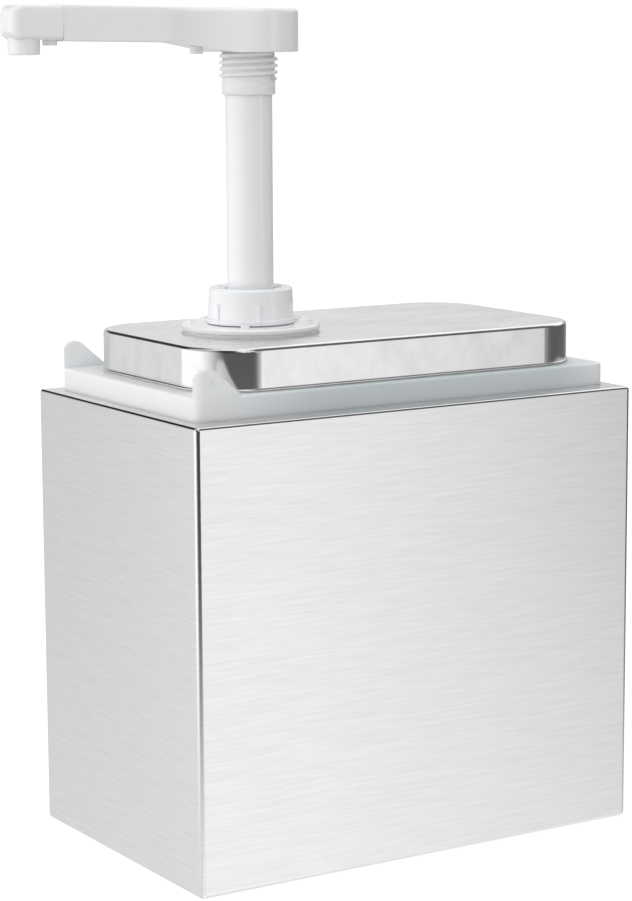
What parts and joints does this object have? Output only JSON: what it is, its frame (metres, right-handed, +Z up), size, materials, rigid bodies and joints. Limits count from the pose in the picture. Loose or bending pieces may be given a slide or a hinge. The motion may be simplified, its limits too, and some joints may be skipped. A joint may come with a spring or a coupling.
{
  "type": "condiment pump dispenser",
  "caption": "Countertop sauce pump: brushed steel case, translucent hanging jar, drawn steel lid and a white plastic hand pump with a long side spout.",
  "frame": {"origin": "centre of the case's flat underside", "axes": "+Z up, +X along the case's long side, +Y to the back; the spout points along -X at rest"},
  "size_m": [0.2849, 0.151, 0.3898],
  "materials": {
    "case_steel": "satin stainless sheet, grain along the case",
    "lid_steel": "drawn stainless, polished skirt and lightly grained top",
    "jar_plastic": "translucent milky polypropylene",
    "pump_plastic": "moulded white plastic, semi-gloss",
    "inner_plastic": "natural moulded plastic",
    "seal_rubber": "white food-grade silicone",
    "valve_steel": "stainless wire and balls"
  },
  "bodies": {
    "case": {"case_shell": "case_steel", "case_base": "case_steel"},
    "jar": {"jar": "jar_plastic"},
    "lid": {"lid": "lid_steel", "flange_gasket": "seal_rubber", "pump_cylinder": "pump_plastic", "flange_nut": "pump_plastic", "collar_nut": "pump_plastic", "guide_bush": "inner_plastic", "wiper_ring": "seal_rubber", "foot_valve": "pump_plastic", "foot_oring": "seal_rubber", "intake_cage": "pump_plastic", "intake_tube": "inner_plastic", "return_spring": "valve_steel"},
    "piston": {"piston": "inner_plastic", "piston_cup": "seal_rubber", "piston_retainer": "inner_plastic"},
    "head": {"stem": "pump_plastic", "ball_stop": "inner_plastic", "stem_oring": "seal_rubber", "lock_sleeve": "pump_plastic", "pump_head": "pump_plastic"},
    "nozzle": {"nozzle_cap": "pump_plastic", "nozzle_oring": "seal_rubber"},
    "discharge_valve": {"discharge_ball": "valve_steel"},
    "intake_valve": {"intake_ball": "valve_steel"}
  },
  "joints": [
    {"name": "jar_lift", "type": "slide", "parent": "case", "child": "jar", "axis": [0, 0, 1], "range_m": [0, 0.21]},
    {"name": "lid_lift", "type": "slide", "parent": "jar", "child": "lid", "axis": [0, 0, 1], "range_m": [0, 0.225]},
    {"name": "pump_press", "type": "slide", "parent": "lid", "child": "piston", "axis": [0, 0, -1], "range_m": [0, 0.092], "stiffness_N_per_m": 180, "springref_m": -0.03, "deforming": ["return_spring"]},
    {"name": "head_swivel", "type": "hinge", "parent": "piston", "child": "head", "pos_m": [-0.0445, 0.002, 0.3], "axis": [0, 0, 1], "continuous": true},
    {"name": "nozzle_pull", "type": "slide", "parent": "head", "child": "nozzle", "axis": [-0.9998, 0, 0.0201], "range_m": [0, 0.03]},
    {"name": "discharge_lift", "type": "slide", "parent": "piston", "child": "discharge_valve", "axis": [0, 0, 1], "range_m": [0, 0.003]},
    {"name": "intake_lift", "type": "slide", "parent": "lid", "child": "intake_valve", "axis": [0, 0, 1], "range_m": [0, 0.003]}
  ]
}
